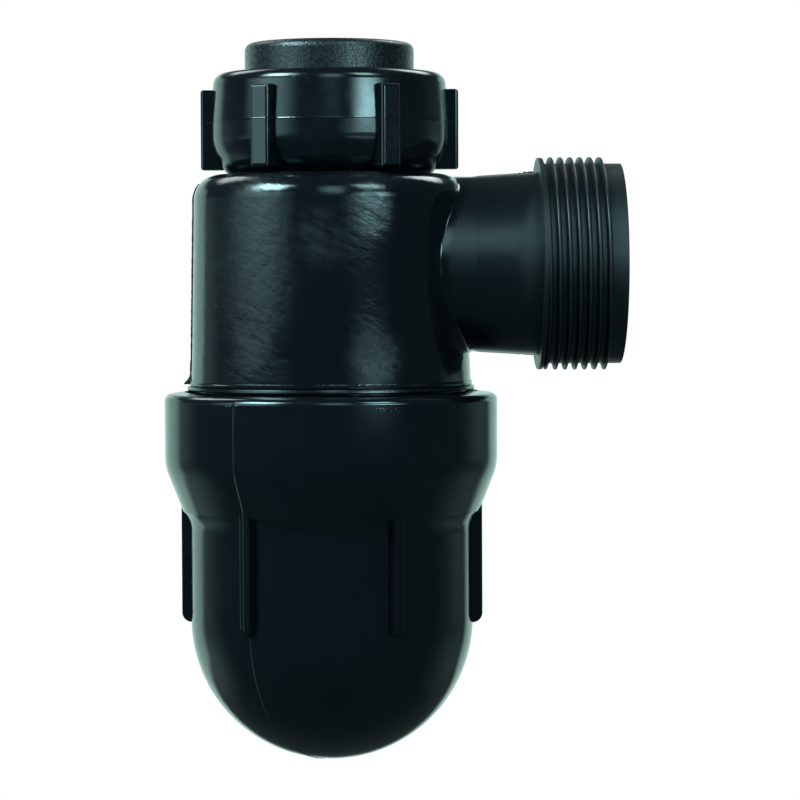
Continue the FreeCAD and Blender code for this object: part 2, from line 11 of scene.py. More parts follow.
import bmesh
import bpy
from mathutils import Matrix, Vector
from mathutils.bvhtree import BVHTree


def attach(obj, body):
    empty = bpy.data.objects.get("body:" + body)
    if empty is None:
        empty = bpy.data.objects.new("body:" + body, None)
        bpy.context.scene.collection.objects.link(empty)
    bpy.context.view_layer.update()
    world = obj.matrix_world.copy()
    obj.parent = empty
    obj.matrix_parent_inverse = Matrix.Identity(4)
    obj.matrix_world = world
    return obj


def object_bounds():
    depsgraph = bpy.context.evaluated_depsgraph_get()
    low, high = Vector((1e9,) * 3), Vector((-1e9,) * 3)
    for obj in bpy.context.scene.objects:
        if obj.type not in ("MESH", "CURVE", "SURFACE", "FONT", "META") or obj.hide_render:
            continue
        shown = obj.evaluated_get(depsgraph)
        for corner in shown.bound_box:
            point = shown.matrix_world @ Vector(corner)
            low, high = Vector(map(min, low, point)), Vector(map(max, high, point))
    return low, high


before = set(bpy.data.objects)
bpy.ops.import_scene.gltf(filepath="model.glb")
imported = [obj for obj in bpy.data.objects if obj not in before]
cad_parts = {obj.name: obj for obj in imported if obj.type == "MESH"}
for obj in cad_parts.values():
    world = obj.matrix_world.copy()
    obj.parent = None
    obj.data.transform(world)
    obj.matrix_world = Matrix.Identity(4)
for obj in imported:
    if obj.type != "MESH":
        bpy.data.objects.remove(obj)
CAD_BOX = [list(corner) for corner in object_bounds()]
MM = 0.001
UP = Vector((0, 0, 1))
print("nodes:", sorted(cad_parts))

# %% [markdown]
# ## The camera
# The photograph seems to be taken from under a metre away, level with the outlet and a touch to its left. The
# distance shows in how much the rims bow towards the viewer, so it is set before the lens: the lens then follows
# from the width that the picture takes in. Azimuth and elevation around a target are easier to adjust than
# coordinates.

# %% Camera
VIEW_AZIMUTH = math.radians(-1.8)
VIEW_ELEVATION = math.radians(2.2)
VIEW_ROLL = math.radians(-0.25)
VIEW_DISTANCE = 0.8
VIEW_WIDTH = 0.2044
VIEW_OFFSET = 0.0176
VIEW_HEIGHT = -0.0908
SENSOR_WIDTH = 36


def direction(azimuth, elevation):
    """The unit vector from the trap towards an azimuth and elevation. Azimuth 0 is the side of -Y."""
    level = math.cos(elevation)
    return Vector((math.sin(azimuth) * level, -math.cos(azimuth) * level, math.sin(elevation)))


def make_camera():
    across = Vector((math.cos(VIEW_AZIMUTH), math.sin(VIEW_AZIMUTH), 0))
    target = across * VIEW_OFFSET + UP * VIEW_HEIGHT
    towards = direction(VIEW_AZIMUTH, VIEW_ELEVATION)
    data = bpy.data.cameras.new("camera")
    data.sensor_width = SENSOR_WIDTH
    data.lens = SENSOR_WIDTH * VIEW_DISTANCE / VIEW_WIDTH
    camera = bpy.data.objects.new("camera", data)
    camera.location = target + towards * VIEW_DISTANCE
    camera.rotation_euler = towards.to_track_quat("Z", "Y").to_euler()
    camera.rotation_euler.rotate_axis("Z", VIEW_ROLL)
    bpy.context.scene.collection.objects.link(camera)
    bpy.context.scene.camera = camera
    return camera


camera = make_camera()
print("lens:", round(camera.data.lens, 1), "mm")

# %% [markdown]
# ## The floor
# A trap hangs under a sink, well above the ground. A plain pale disc far below it stands for the ground. A large
# plane would do as well, but a disc ends cleanly in views from above. It is kept out of the reflections, because
# the front of the bowl is dark in the photograph.

# %% Floor
FLOOR_DROP = 0.36
FLOOR_RADIUS = 0.85
FLOOR_SIDES = 96
FLOOR_ROUGHNESS = 0.9
PALE = (0.62, 0.62, 0.62, 1)


def make_floor():
    mesh = bpy.data.meshes.new("floor")
    shape = bmesh.new()
    bmesh.ops.create_circle(shape, cap_ends=True, radius=FLOOR_RADIUS, segments=FLOOR_SIDES)
    shape.to_mesh(mesh)
    shape.free()
    floor = bpy.data.objects.new("floor", mesh)
    floor.location.z = CAD_BOX[0][2] - FLOOR_DROP
    floor.visible_glossy = False
    bpy.context.scene.collection.objects.link(floor)
    material = bpy.data.materials.new("pale_floor")
    material.use_nodes = True
    shader = material.node_tree.nodes["Principled BSDF"]
    shader.inputs["Base Color"].default_value = PALE
    shader.inputs["Roughness"].default_value = FLOOR_ROUGHNESS
    shader.inputs["Specular IOR Level"].default_value = 0.0
    floor.data.materials.append(material)


make_floor()
print("floor at", round(CAD_BOX[0][2] - FLOOR_DROP, 3))

# %% [markdown]
# ## The lamps
# Black plastic shows almost nothing but reflections, so the lamps are what shapes it. Two strong lamps high on the
# left and right give the paired highlights on the shoulder. Under them hang dimmer strips, close to the trap, which
# run down the nut and the body as upright streaks and end on the collar. A card in front adds the glint between
# the highlights. Pale green cards at the sides, below and far behind give the bright edges, where a surface seen at
# a grazing angle mirrors what stands beyond it. Two lamps behind light the back of the shoulder.
#
# Glowing meshes could do this too, but area lamps make less noise. Each one is given as the window that it fills as
# seen from the trap, since that is what the plastic mirrors. A hard edge would draw its rectangle on the plastic, so
# every face fades towards its rim.

# %% Lamps
WHITE = (1, 1, 1, 1)
PALE_GREEN = (0.66, 1.0, 0.88, 1)
FACE_MIDDLE = 0.5
# Left, right, low and high edge in degrees, distance in metres, brightness of the face, faded share and colour.
LAMPS = {
    "left_lamp": (-80, -36, 28, 56, 1.3, 34, 0.7, WHITE),
    "right_lamp": (25, 57, 33, 58, 1.3, 13, 0.7, WHITE),
    "left_strip_high": (-90, -26, 8, 34, 0.43, 4.0, 1.0, WHITE),
    "left_strip": (-88, -25, 2.6, 16.6, 0.42, 2.4, 1.0, WHITE),
    "left_strip_low": (-103, -50, 2.4, 8.6, 0.42, 0.75, 1.0, WHITE),
    "left_strip_edge": (-125, -45, -3, 15, 0.46, 0.1, 1.0, WHITE),
    "right_strip_high": (19, 55, 10, 25, 0.42, 20.0, 1.0, WHITE),
    "right_strip": (7, 43, 7, 15, 0.42, 1.8, 1.0, WHITE),
    "right_strip_low": (12, 52, -3.2, 4.4, 0.42, 2.4, 1.0, WHITE),
    "front_card": (-12, 20, 9.5, 56, 1.6, 2.8, 0.9, WHITE),
    "left_card": (-144, -98, -12, 12, 1.5, 0.3, 1.0, PALE_GREEN),
    "right_card": (98, 144, -12, 12, 1.5, 0.25, 1.0, PALE_GREEN),
    "low_left_card": (-148, -88, -48, -4, 0.5, 0.36, 1.0, PALE_GREEN),
    "low_right_card": (86, 146, -48, -4, 0.5, 0.18, 1.0, PALE_GREEN),
    "back_card": (-223, -124, -29, 25, 2.2, 0.98, 0.3, PALE_GREEN),
    "back_lamp_left": (-236, -196, 30, 58, 1.3, 6, 0.7, WHITE),
    "back_lamp_right": (-160, -120, 30, 58, 1.3, 4, 0.7, WHITE),
}


def soften(data, soft):
    """Fades a lamp's face towards its rim, over a share of half its size."""
    data.use_nodes = True
    tree = data.node_tree
    glow = next(node for node in tree.nodes if node.bl_idname == "ShaderNodeEmission")
    face = tree.nodes.new("ShaderNodeNewGeometry")
    parts = tree.nodes.new("ShaderNodeSeparateXYZ")
    tree.links.new(face.outputs["Parametric"], parts.inputs["Vector"])
    product = tree.nodes.new("ShaderNodeMath")
    product.operation = "MULTIPLY"
    for number, axis in enumerate(("X", "Y")):
        ramp = tree.nodes.new("ShaderNodeMath")
        ramp.operation = "PINGPONG"
        ramp.inputs[1].default_value = FACE_MIDDLE
        fade = tree.nodes.new("ShaderNodeMapRange")
        fade.interpolation_type = "SMOOTHSTEP"
        fade.inputs["From Max"].default_value = FACE_MIDDLE * soft
        tree.links.new(parts.outputs[axis], ramp.inputs[0])
        tree.links.new(ramp.outputs["Value"], fade.inputs["Value"])
        tree.links.new(fade.outputs["Result"], product.inputs[number])
    tree.links.new(product.outputs["Value"], glow.inputs["Strength"])


def make_lamp(name, left, right, low, high, distance, radiance, soft, colour):
    """A lamp that fills a window of azimuths and elevations, in degrees, with one brightness of its face."""
    azimuth = VIEW_AZIMUTH + math.radians((left + right) / 2)
    towards = direction(azimuth, math.radians((low + high) / 2))
    data = bpy.data.lights.new(name, "AREA")
    data.shape = "RECTANGLE"
    data.color = colour[:3]
    data.size = 2 * distance * math.tan(math.radians((right - left) / 2)) * math.hypot(towards.x, towards.y)
    data.size_y = 2 * distance * math.tan(math.radians((high - low) / 2))
    data.energy = radiance * math.pi * data.size * data.size_y
    soften(data, soft)
    lamp = bpy.data.objects.new(name, data)
    lamp.location = UP * VIEW_HEIGHT + towards * distance
    lamp.rotation_euler = towards.to_track_quat("Z", "Y").to_euler()
    lamp.visible_camera = False
    bpy.context.scene.collection.objects.link(lamp)


for name, window in LAMPS.items():
    make_lamp(name, *window)
print("lamps:", len(LAMPS))

# %% [markdown]
# ## The room
# Behind the trap the photograph is plain white, yet that white doesn't show in the plastic. A backdrop with holes
# cut for the reflections would be clumsy. A world with two faces is simpler: white for the camera, and a dim, cold
# room for everything else, which keeps the plastic from going fully black between the lamps.

# %% World
ROOM = (0.75, 0.95, 1.0, 1)
ROOM_STRENGTH = 0.085


def make_world():
    world = bpy.data.worlds.new("studio")
    world.use_nodes = True
    tree = world.node_tree
    tree.nodes.clear()
    dim = tree.nodes.new("ShaderNodeBackground")
    dim.inputs["Color"].default_value = ROOM
    dim.inputs["Strength"].default_value = ROOM_STRENGTH
    bright = tree.nodes.new("ShaderNodeBackground")
    bright.inputs["Color"].default_value = WHITE
    path = tree.nodes.new("ShaderNodeLightPath")
    mix = tree.nodes.new("ShaderNodeMixShader")
    out = tree.nodes.new("ShaderNodeOutputWorld")
    tree.links.new(path.outputs["Is Camera Ray"], mix.inputs["Fac"])
    tree.links.new(dim.outputs["Background"], mix.inputs[1])
    tree.links.new(bright.outputs["Background"], mix.inputs[2])
    tree.links.new(mix.outputs["Shader"], out.inputs["Surface"])
    bpy.context.scene.world = world


make_world()
bpy.context.scene.view_settings.view_transform = "Standard"
print("world:", bpy.context.scene.world.name)

# %% [markdown]
# ## Writing nodes like formulas
# A mark on plastic takes a dozen nodes, and placing them one by one hides what they say. These helpers make one node
# with its values and links in one line, so that a mark reads like a formula. Marks are made in the object's own
# millimetres. Texture coordinates unwrapped on to the faces could carry them too, but need a layout for each piece,
# whereas millimetres give a mark a real size and keep it on its piece when that piece moves.

# %% Helpers for nodes
def add_node(tree, kind, values=None, **settings):
    """A node with its settings, and its inputs either set to a value or linked to an output."""
    item = tree.nodes.new("ShaderNode" + kind)
    for name, setting in settings.items():
        setattr(item, name, setting)
    for socket, entry in (values or {}).items():
        if isinstance(entry, bpy.types.NodeSocket):
            tree.links.new(entry, item.inputs[socket])
        else:
            item.inputs[socket].default_value = entry
    return item


def new_group(name, inputs, outputs):
    """An empty node group with value sockets. Inputs carry their defaults."""
    tree = bpy.data.node_groups.new(name, "ShaderNodeTree")
    for label, default in inputs.items():
        socket = tree.interface.new_socket(label, in_out="INPUT", socket_type="NodeSocketFloat")
        socket.default_value = default
    for label in outputs:
        tree.interface.new_socket(label, in_out="OUTPUT", socket_type="NodeSocketFloat")
    entry = tree.nodes.new("NodeGroupInput")
    leave = tree.nodes.new("NodeGroupOutput")
    return tree, entry.outputs, leave.inputs


def math_node(tree, operation, first, second):
    return add_node(tree, "Math", {0: first, 1: second}, operation=operation).outputs["Value"]


def mixture(tree, *parts):
    """The sum of several values, each with its share."""
    total = None
    for value, share in parts:
        part = math_node(tree, "MULTIPLY", value, share)
        total = part if total is None else math_node(tree, "ADD", total, part)
    return total


def vector_node(tree, operation, first, second):
    return add_node(tree, "VectorMath", {0: first, 1: second}, operation=operation).outputs["Vector"]


def length(tree, vector):
    return add_node(tree, "VectorMath", {0: vector}, operation="LENGTH").outputs["Value"]


def millimetres(tree, stretch=(1, 1, 1)):
    """The object's own coordinates in millimetres, squeezed along each axis if asked."""
    place = add_node(tree, "TexCoord").outputs["Object"]
    return vector_node(tree, "MULTIPLY", place, [factor / MM for factor in stretch])


def noise(tree, place, scale, detail, **more):
    """Cloudy values around a half."""
    return add_node(tree, "TexNoise", {"Vector": place, "Scale": scale, "Detail": detail, **more}).outputs["Fac"]


def between(tree, value, low, high):
    """0 at one value, 1 at another, smooth between them."""
    entries = {"Value": value, "From Min": low, "From Max": high}
    return add_node(tree, "MapRange", entries, interpolation_type="SMOOTHSTEP").outputs["Result"]


def spread(tree, mask, low, high):
    """A mask drawn out between two values."""
    return add_node(tree, "MapRange", {"Value": mask, "To Min": low, "To Max": high}).outputs["Result"]


print("helpers ready")

# %% [markdown]
# ## Grain and dust
# The tube comes from a blasted mould and is covered in fine grain, and the rubber rings have a finer one. Dust lies
# on the smooth pieces as single pale specks. Both appear on more than one piece, each time in another measure, so
# each is a node group with named inputs. Real bumps and specks would need millions of faces.

# %% Groups for grain and dust
COARSE_SHARE = 0.4
SPECKLE_EDGES = (0.2, 0.36)
RARE = 0.55


def make_grain():
    """A fine, even roughness, as from a blasted mould."""
    tree, inputs, outputs = new_group("moulded_grain", {"Grains per mm": 2.0}, ("Height", "Speckle"))
    place = millimetres(tree)
    fine = noise(tree, place, inputs["Grains per mm"], 2.0)
    coarse = noise(tree, place, math_node(tree, "MULTIPLY", inputs["Grains per mm"], COARSE_SHARE), 1.0)
    both = math_node(tree, "MULTIPLY", fine, coarse)
    tree.links.new(fine, outputs["Height"])
    tree.links.new(between(tree, both, *SPECKLE_EDGES), outputs["Speckle"])
    return tree


def make_dust():
    """Single pale specks, far apart."""
    tree, inputs, outputs = new_group("dust_specks", {"Specks per mm": 0.15, "Size": 0.05}, ("Dust",))
    cells = add_node(tree, "TexVoronoi", {"Vector": millimetres(tree), "Scale": inputs["Specks per mm"]})
    near = math_node(tree, "LESS_THAN", cells.outputs["Distance"], inputs["Size"])
    pick = add_node(tree, "SeparateColor", {"Color": cells.outputs["Color"]})
    chosen = math_node(tree, "GREATER_THAN", pick.outputs["Red"], RARE)
    tree.links.new(math_node(tree, "MULTIPLY", near, chosen), outputs["Dust"])
    return tree


GRAIN = make_grain()
DUST = make_dust()
print("groups:", GRAIN.name, DUST.name)

# %% [markdown]
# ## Scuffs
# Years of wiping leave cloudy patches, with finer mottling, level streaks and slanting rub marks in them. Painting
# them by hand would fit one piece only. Noise at four sizes fits all, and stretching its coordinates turns clouds
# into streaks. The group gives three results: where it is scuffed, how worn the surface film is, and a height.

# %% Group for scuffs
PATCH_STRETCH = (1, 1, 0.8)
STREAK_STRETCH = (0.1, 0.1, 1)
MOTTLES_PER_PATCH = 5.0
RUB_SLANT = math.radians(25)
RUB_LENGTH = 4.0
RUB_PER_MM = 0.6
CLOUD_EDGES = (0.38, 0.62)
SPOT_EDGES = (0.28, 0.72)
LINE_EDGES = (0.4, 0.75)
BLOTCH_EDGES = (0.3, 0.7)
MARK_EDGES = (0.4, 0.62)
LINE_SHARE = 0.7
FILM_SHARES = (0.35, 0.25, 0.4)
STREAK_HEIGHT = 0.12
RUB_HEIGHT = 0.6
WAVE_MIDDLE = 0.5 * (1 + STREAK_HEIGHT + RUB_HEIGHT)


def make_scuffs():
    """Cloudy patches where the surface was wiped and rubbed, with mottling, streaks and rub marks in them."""
    tree, inputs, outputs = new_group(
        "wiped_scuffs", {"Patch per mm": 0.06, "Streak per mm": 1.2}, ("Scuff", "Film", "Wave")
    )
    place = millimetres(tree, PATCH_STRETCH)
    patch = noise(tree, place, inputs["Patch per mm"], 4.0)
    often = math_node(tree, "MULTIPLY", inputs["Patch per mm"], MOTTLES_PER_PATCH)
    mottle = noise(tree, place, often, 2.5, Roughness=0.5)
    streak = noise(tree, millimetres(tree, STREAK_STRETCH), inputs["Streak per mm"], 3.0)
    slant = {"Vector": millimetres(tree), "Rotation": (0, RUB_SLANT, 0), "Scale": (RUB_LENGTH, RUB_LENGTH, 1)}
    along = add_node(tree, "Mapping", slant, vector_type="TEXTURE").outputs["Vector"]
    rub = noise(tree, along, RUB_PER_MM, 3.0, Roughness=0.65)

    clouds = between(tree, patch, *CLOUD_EDGES)
    lines = math_node(tree, "MULTIPLY", between(tree, streak, *LINE_EDGES), LINE_SHARE)
    rubbed = math_node(tree, "MAXIMUM", between(tree, mottle, *SPOT_EDGES), lines)
    tree.links.new(math_node(tree, "MULTIPLY", clouds, rubbed), outputs["Scuff"])

    blotches = between(tree, mottle, *BLOTCH_EDGES)
    marks = between(tree, rub, *MARK_EDGES)
    film = mixture(tree, *zip((clouds, blotches, marks), FILM_SHARES))
    tree.links.new(film, outputs["Film"])

    strokes = mixture(tree, (streak, STREAK_HEIGHT), (rub, RUB_HEIGHT))
    tree.links.new(math_node(tree, "ADD", mottle, strokes), outputs["Wave"])
    return tree


SCUFFS = make_scuffs()
print("group:", SCUFFS.name)

# %% [markdown]
# ## Where the body is worn
# Hands and cloths reach some places more than others: the left of the body, its middle, the shoulder, and spots
# low on the right. A painted mask would do, but soft spots with a middle and a reach are quickly moved and leave no
# seams. The last three are on the back.

# %% Group for wear
WEAR_EDGES = (1.1, 0.3)
# Middle and reach in millimetres.
WEAR_SPOTS = (
    ((-20, -28, -54), (17, 17, 26)),
    ((-15, -27, -33), (11, 11, 6)),
    ((9, -29, -33), (11, 11, 6)),
    ((-20, -29, -74), (9, 9, 10)),
    ((-3, -35, -49), (9, 9, 11)),
    ((10, -34, -43), (8, 8, 8)),
    ((11, -33, -80), (10, 10, 9)),
    ((20, 28, -60), (14, 14, 20)),
    ((-28, 20, -50), (10, 10, 16)),
    ((4, 35, -76), (12, 12, 9)),
)


def make_wear():
    """1 in the middle of a worn spot, 0 beyond its reach."""
    tree, _, outputs = new_group("wear_spots", {}, ("Wear",))
    place = millimetres(tree)
    wear = None
    for middle, reach in WEAR_SPOTS:
        away = vector_node(tree, "SUBTRACT", place, middle)
        far = length(tree, vector_node(tree, "DIVIDE", away, reach))
        spot = between(tree, far, *WEAR_EDGES)
        wear = spot if wear is None else math_node(tree, "MAXIMUM", wear, spot)
    tree.links.new(wear, outputs["Wear"])
    return tree


WEAR = make_wear()
print("group:", WEAR.name, "with", len(WEAR_SPOTS), "spots")

# %% [markdown]
# ## Black plastic
# All pieces are the same black plastic, told apart by their moulds. A plain dark colour would look like a hole, so
# each finish varies its roughness and its colour a little, and has a bump of its own. The reflections of the plastic
# are a cold grey green. Coloured lamps could give that, but they would colour the floor too, so the specular tint
# does it.

# %% Helpers for finishes
BLACK = (0.0018, 0.0034, 0.0052, 1)
WORN = (0.016, 0.028, 0.030, 1)
PALE_GRAIN = (0.014, 0.024, 0.026, 1)
DUSTY = (0.07, 0.1, 0.1, 1)
COLD = (0.50, 0.93, 1.0, 1)
MIX_MASK, MIX_FIRST, MIX_SECOND, MIX_COLOUR = 0, 6, 7, 2


def start_plastic(name):
    material = bpy.data.materials.new(name)
    material.use_nodes = True
    shader = material.node_tree.nodes["Principled BSDF"]
    shader.inputs["Specular Tint"].default_value = COLD
    return material, material.node_tree, shader


def place_group(tree, group, **values):
    item = tree.nodes.new("ShaderNodeGroup")
    item.node_tree = group
    for label, entry in values.items():
        item.inputs[label.replace("_", " ")].default_value = entry
    return item.outputs


def mix_colour(tree, mask, first, second):
    entries = {MIX_MASK: mask, MIX_FIRST: first, MIX_SECOND: second}
    return add_node(tree, "Mix", entries, data_type="RGBA").outputs[MIX_COLOUR]


def dust_over(tree, shader, base, specks, size):
    """Pale specks on a base colour."""
    dust = place_group(tree, DUST, Specks_per_mm=specks, Size=size)["Dust"]
    tree.links.new(mix_colour(tree, dust, base, DUSTY), shader.inputs["Base Color"])


def bump(tree, shader, height, depth):
    item = add_node(tree, "Bump", {"Height": height, "Distance": depth, "Strength": 1.0})
    tree.links.new(item.outputs["Normal"], shader.inputs["Normal"])


print("finish helpers ready")

# %% [markdown]
# ## Grainy and smooth finishes
# The tube and the rubber rings are grainy, the nut, the ring in it and the bowl are smooth with faint scuffs. One
# material with many switches could serve all five. Two short recipes with their own values are easier to read and
# to change.

# %% Grainy and smooth finishes
TUBE = {"grains": 2.8, "pale": PALE_GRAIN, "roughness": (0.28, 0.15), "depth": 0.11 * MM}
RUBBER = {"grains": 3.0, "pale": WORN, "roughness": (0.8, 0.65), "depth": 0.05 * MM}
NUT = {"patch": 0.09, "streak": 1.6, "dust": (0.2, 0.025), "worn": 0.08, "roughness": (0.13, 0.2), "depth": 0.012 * MM}
BOWL = {"patch": 0.05, "streak": 1.0, "dust": (0.12, 0.03), "worn": 0.04, "roughness": (0.1, 0.2), "depth": 0.008 * MM}


def grainy(name, grains, pale, roughness, depth):
    """Dull and grainy, with paler and smoother speckles."""
    material, tree, shader = start_plastic(name)
    grain = place_group(tree, GRAIN, Grains_per_mm=grains)
    tree.links.new(mix_colour(tree, grain["Speckle"], BLACK, pale), shader.inputs["Base Color"])
    tree.links.new(spread(tree, grain["Speckle"], *roughness), shader.inputs["Roughness"])
    bump(tree, shader, grain["Height"], depth)
    return material


def smooth(name, patch, streak, dust, worn, roughness, depth):
    """Smooth, with faint scuffs and a little dust."""
    material, tree, shader = start_plastic(name)
    scuffs = place_group(tree, SCUFFS, Patch_per_mm=patch, Streak_per_mm=streak)
    base = mix_colour(tree, spread(tree, scuffs["Scuff"], 0.0, worn), BLACK, WORN)
    dust_over(tree, shader, base, *dust)
    tree.links.new(spread(tree, scuffs["Scuff"], *roughness), shader.inputs["Roughness"])
    bump(tree, shader, scuffs["Wave"], depth)
    return material


print("recipes: grainy, smooth")

# %% [markdown]
# ## The worn body
# The body is glossy where it was left alone and dull where it was rubbed, and its outlet came out duller still,
# most of all behind the thread. Two materials could split it, but the border would show. Instead the wear spots
# scale one finish, and the distance from the axis tells the outlet from the barrel. The wave is taken about its
# middle, so that scaling it leaves no step at a spot's border.

# %% Finish of the body
BODY_PATCH, BODY_STREAK = 0.07, 2.0
BODY_DUST = (0.14, 0.024)
BODY_WORN = 0.2
BODY_ROUGHNESS = (0.1, 0.45)
BODY_WAVE = 0.11 * MM
LEAST_FILM = 0.15
LEAST_WAVE = 0.4
LEVEL = (1, 1, 0)
BRANCH_EDGES, BRANCH_DULL = (35.5, 37.5), 0.2
THREAD_EDGES, THREAD_DULL = (51, 54), 0.14


def body_plastic():
    """Smooth but worn, with a little dust, and duller out on the outlet."""
    material, tree, shader = start_plastic("body_plastic")
    scuffs = place_group(tree, SCUFFS, Patch_per_mm=BODY_PATCH, Streak_per_mm=BODY_STREAK)
    wear = place_group(tree, WEAR)["Wear"]
    rubbed = math_node(tree, "MULTIPLY", spread(tree, scuffs["Film"], LEAST_FILM, 1.0), wear)
    base = mix_colour(tree, spread(tree, rubbed, 0.0, BODY_WORN), BLACK, WORN)
    dust_over(tree, shader, base, *BODY_DUST)
    reach = length(tree, vector_node(tree, "MULTIPLY", millimetres(tree), LEVEL))
    branch = between(tree, reach, *BRANCH_EDGES)
    thread = between(tree, reach, *THREAD_EDGES)
    dull = mixture(tree, (branch, BRANCH_DULL), (thread, THREAD_DULL))
    gloss = math_node(tree, "ADD", spread(tree, rubbed, *BODY_ROUGHNESS), dull)
    tree.links.new(gloss, shader.inputs["Roughness"])
    wave = math_node(tree, "SUBTRACT", scuffs["Wave"], WAVE_MIDDLE)
    relief = math_node(tree, "MULTIPLY", wave, spread(tree, wear, LEAST_WAVE, 1.0))
    bump(tree, shader, relief, BODY_WAVE)
    return material


SEAL_RUBBER = grainy("seal_rubber", **RUBBER)
FINISHES = {
    "inlet_tube": grainy("tube_plastic", **TUBE),
    "inlet_nut": smooth("nut_plastic", **NUT),
    "trap_body": body_plastic(),
    "bowl": smooth("bowl_plastic", **BOWL),
    "inlet_seal": SEAL_RUBBER,
    "thrust_ring": smooth("ring_plastic", **NUT),
    "bowl_seal": SEAL_RUBBER,
}
for name, material in FINISHES.items():
    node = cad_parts[name]
    node.data.materials.clear()
    node.data.materials.append(material)
print("finishes:", len(FINISHES))

# %% [markdown]
# ## Ridges on a surface
# A moulded part keeps the lines where the halves of its mould met. A bump map could draw them, but they break the
# outline, so they are real ridges. Rays against the solids find their points, which keeps each ridge on its surface
# also where it runs over a grip rib or a bead, without copying any size from the solids. Every added piece is a row
# of equal sections joined into one closed mesh.

# %% Tools for ridges
BODIES = {"trap_body": "trap"}
SINK = 0.02 * MM
AWAY = 0.09


def surface(name):
    """A node's surface, for rays."""
    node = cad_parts[name]
    points = [node.matrix_world @ vertex.co for vertex in node.data.vertices]
    return BVHTree.FromPolygons(points, [tuple(face.vertices) for face in node.data.polygons])


def touch(tree, axis, out):
    """Where a ray from outside meets a surface on its way in to a point of an axis."""
    return tree.ray_cast(axis + out * AWAY, -out)[0]


def radial(angle):
    return Vector((math.cos(angle), math.sin(angle), 0))


def places(start, stop, stride):
    """Evenly spaced values from one up to another."""
    place = start
    while place < stop:
        yield place
        place += stride


def add_piece(name, points, faces, node):
    """A closed mesh that rides with a node and wears its finish."""
    mesh = bpy.data.meshes.new(name)
    mesh.from_pydata([point[:] for point in points], [], faces)
    shape = bmesh.new()
    shape.from_mesh(mesh)
    bmesh.ops.recalc_face_normals(shape, faces=shape.faces)
    shape.to_mesh(mesh)
    shape.free()
    piece = bpy.data.objects.new(name, mesh)
    bpy.context.scene.collection.objects.link(piece)
    piece.data.materials.append(FINISHES[node])
    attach(piece, BODIES.get(node, node))
    print(name, len(faces), "faces")


def join_sections(name, sections, node, closed=False):
    """A piece from a row of sections with as many points each, closed to a ring or capped at its ends."""
    count, size = len(sections), len(sections[0])
    faces = []
    for step in range(count if closed else count - 1):
        here, there = size * step, size * ((step + 1) % count)
        for side in range(size):
            after = (side + 1) % size
            faces.append((here + side, here + after, there + after, there + side))
    if not closed:
        last = size * (count - 1)
        faces += [tuple(range(size)), tuple(range(last + size - 1, last - 1, -1))]
    add_piece(name, [point for section in sections for point in section], faces, node)


def make_ridge(name, stations, node, closed=False, lean=0.0):
    """A ridge with three corners. A station is its foot, the ways out and across, half its width and its height."""
    sections = []
    for foot, out, across, half, height in stations:
        sunk = foot - out * SINK
        sections.append((sunk - across * half, foot + out * height + across * lean, sunk + across * half))
    join_sections(name, sections, node, closed)


print("ridge tools ready")

# %% [markdown]
# ## Parting line of the nut
# The nut's mould opens at half its height, which leaves a fine line around it and over its six ribs. A plain ring
# would vanish inside the ribs. A ray for every half degree puts the ridge on whatever is outermost.

# %% Parting line of the nut
NUT_LINE_DEPTH = 20.2 * MM
NUT_LINE_HALF = 0.24 * MM
NUT_LINE_HEIGHT = 0.07 * MM
NUT_LINE_STEPS = 720


def nut_line():
    tree = surface("inlet_nut")
    stations = []
    for step in range(NUT_LINE_STEPS):
        out = radial(math.tau * step / NUT_LINE_STEPS)
        foot = touch(tree, -UP * NUT_LINE_DEPTH, out)
        stations.append((foot, out, UP, NUT_LINE_HALF, NUT_LINE_HEIGHT))
    make_ridge("nut_parting_line", stations, "inlet_nut", closed=True)


nut_line()

# %% [markdown]
# ## Seam of the bowl
# The bowl's mould has two halves, so one seam runs down the collar, under the dome and up on the other side. It is
# highest at the rim, where the plastic was squeezed out, and flattest on the dome. A bevelled curve could draw it,
# but would need the same points and couldn't change its height. Level rays follow the wall, and rays towards the
# dome's centre follow the dome. The crest leans to one side, which gives the line a bright and a dark flank.

# %% Seam of the bowl
SEAM_ANGLE = math.radians(-124.8)
SEAM_TOP = 89.3 * MM
SEAM_HALF = 0.36 * MM
SEAM_HEIGHT = 0.23 * MM
SEAM_LEAN = 0.14 * MM
RIM_HEIGHT = 0.25 * MM
RIM_FADE = 1.2 * MM
SEAM_STRIDE = 0.6 * MM
DOME_CENTRE = 146.35 * MM
DOME_STEPS = 60
DOME_HALF = 0.75 * SEAM_HALF
DOME_HEIGHT = 0.6 * SEAM_HEIGHT


def bowl_seam():
    tree = surface("bowl")
    out = radial(SEAM_ANGLE)
    across = UP.cross(out)

    def wall(depth, way):
        height = SEAM_HEIGHT + RIM_HEIGHT * math.exp(-(depth - SEAM_TOP) / RIM_FADE)
        return touch(tree, -UP * depth, way), way, across, SEAM_HALF, height

    depths = list(places(SEAM_TOP, DOME_CENTRE, SEAM_STRIDE))
    stations = [wall(depth, out) for depth in depths]
    for step in range(DOME_STEPS + 1):
        turn = math.pi * step / DOME_STEPS
        way = out * math.cos(turn) - UP * math.sin(turn)
        stations.append((touch(tree, -UP * DOME_CENTRE, way), way, across, DOME_HALF, DOME_HEIGHT))
    stations += [wall(depth, -out) for depth in reversed(depths)]
    make_ridge("bowl_seam", stations, "bowl", lean=SEAM_LEAN)


bowl_seam()

# %% [markdown]
# ## Flash of the body
# The body's mould parts in the plane of the outlet. On the side away from the outlet its flash stands out as a thin
# fin that ends in a lug on the bead, and along the outlet it grows ragged towards the thread. A smooth fin would
# look machined, so each station draws its own height. The seeds keep it the same in every run.

